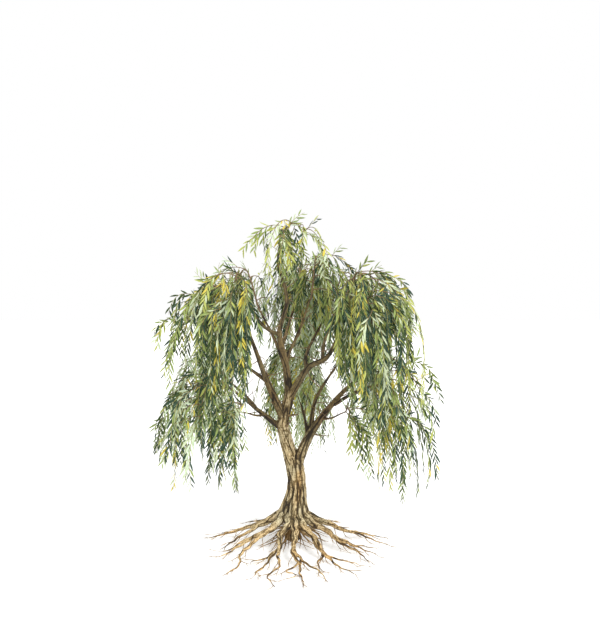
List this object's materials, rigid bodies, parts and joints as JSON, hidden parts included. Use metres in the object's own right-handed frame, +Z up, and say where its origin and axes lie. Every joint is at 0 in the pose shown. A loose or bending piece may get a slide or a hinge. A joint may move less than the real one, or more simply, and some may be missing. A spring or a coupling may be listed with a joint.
{
  "type": "weeping willow tree",
  "caption": "Mature weeping willow rooted at level ground, with a leaning forked trunk, arching boughs, hanging leafy strands and roots that spread over the ground.",
  "frame": {"origin": "centre of the flat cut under the trunk, at ground level", "axes": "+Z up the trunk, +X to the right and +Y to the back of the view in the picture"},
  "size_m": [7.0358, 6.3213, 8.0235],
  "materials": {
    "bark": "rough furrowed bark",
    "root_bark": "rough bark",
    "foliage": "matt leaves"
  },
  "bodies": {
    "root": {"bough_back_left": "bark", "bough_back_low": "bark", "bough_back_top": "bark", "bough_centre": "bark", "bough_left_fore": "bark", "bough_left_inner": "bark", "bough_left_low": "bark", "bough_left_mid": "bark", "bough_left_side": "bark", "bough_left_top": "bark", "bough_right_centre": "bark", "bough_right_inner": "bark", "bough_right_low": "bark", "bough_right_mid": "bark", "bough_right_rear": "bark", "bough_right_top": "bark", "foliage_centre": "foliage", "foliage_crown_top": "foliage", "foliage_inner_left": "foliage", "foliage_inner_right": "foliage", "foliage_lower_back": "foliage", "foliage_lower_back_left": "foliage", "foliage_lower_back_right": "foliage", "foliage_lower_fore_left": "foliage", "foliage_lower_fore_right": "foliage", "foliage_lower_left": "foliage", "foliage_lower_right": "foliage", "foliage_upper_back": "foliage", "foliage_upper_back_left": "foliage", "foliage_upper_back_right": "foliage", "foliage_upper_fore_left": "foliage", "foliage_upper_fore_right": "foliage", "foliage_upper_left": "foliage", "foliage_upper_right": "foliage", "leader": "bark", "limb_right": "bark", "root_back": "root_bark", "root_back_left": "root_bark", "root_back_right": "root_bark", "root_fore_left": "root_bark", "root_fore_right": "root_bark", "root_front_left": "root_bark", "root_front_right": "root_bark", "root_left": "root_bark", "root_right": "root_bark", "root_right_front": "root_bark", "snag": "bark", "snag_side": "bark", "stem_left": "bark", "trunk": "bark"}
  },
  "joints": []
}
